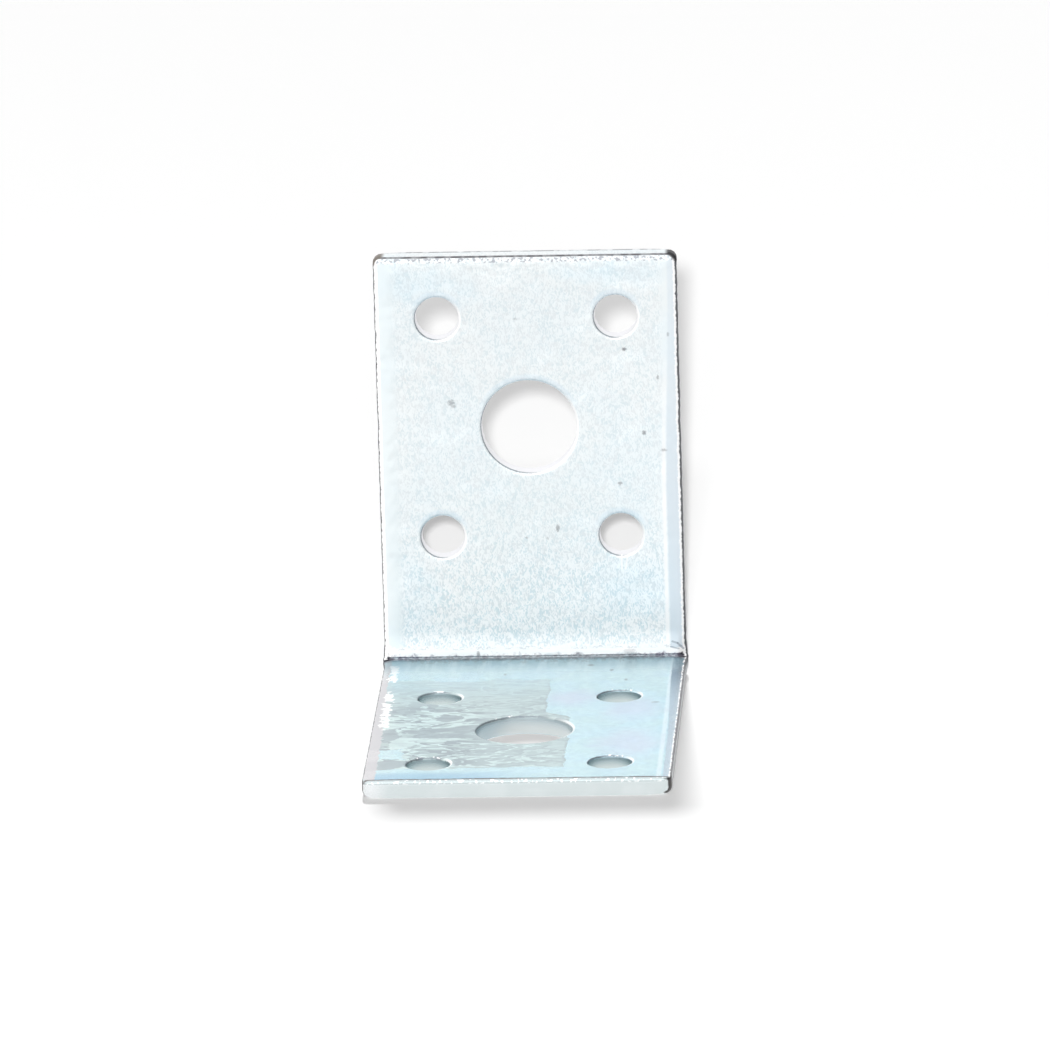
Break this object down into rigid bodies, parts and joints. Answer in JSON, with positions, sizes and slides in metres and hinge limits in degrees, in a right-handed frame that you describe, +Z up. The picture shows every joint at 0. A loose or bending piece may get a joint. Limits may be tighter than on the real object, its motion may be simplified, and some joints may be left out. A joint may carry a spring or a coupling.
{
  "type": "angle bracket",
  "caption": "Folded sheet-steel angle bracket with a bolt hole and screw holes in each leg, bright zinc plated, for joining timber or panels at a right angle.",
  "frame": {"origin": "centre of the bounding box at its underside, on the surface that the base leg lies on", "axes": "+Z up along the upright leg, +X across the strip, +Y towards the back of the upright leg, so the base leg points to -Y"},
  "size_m": [0.0354, 0.0502, 0.0505],
  "materials": {
    "zinc_steel": "bright blue-white zinc plate over sheared mild steel, finely grained on the upright leg"
  },
  "bodies": {
    "root": {"bracket": "zinc_steel"}
  },
  "joints": []
}
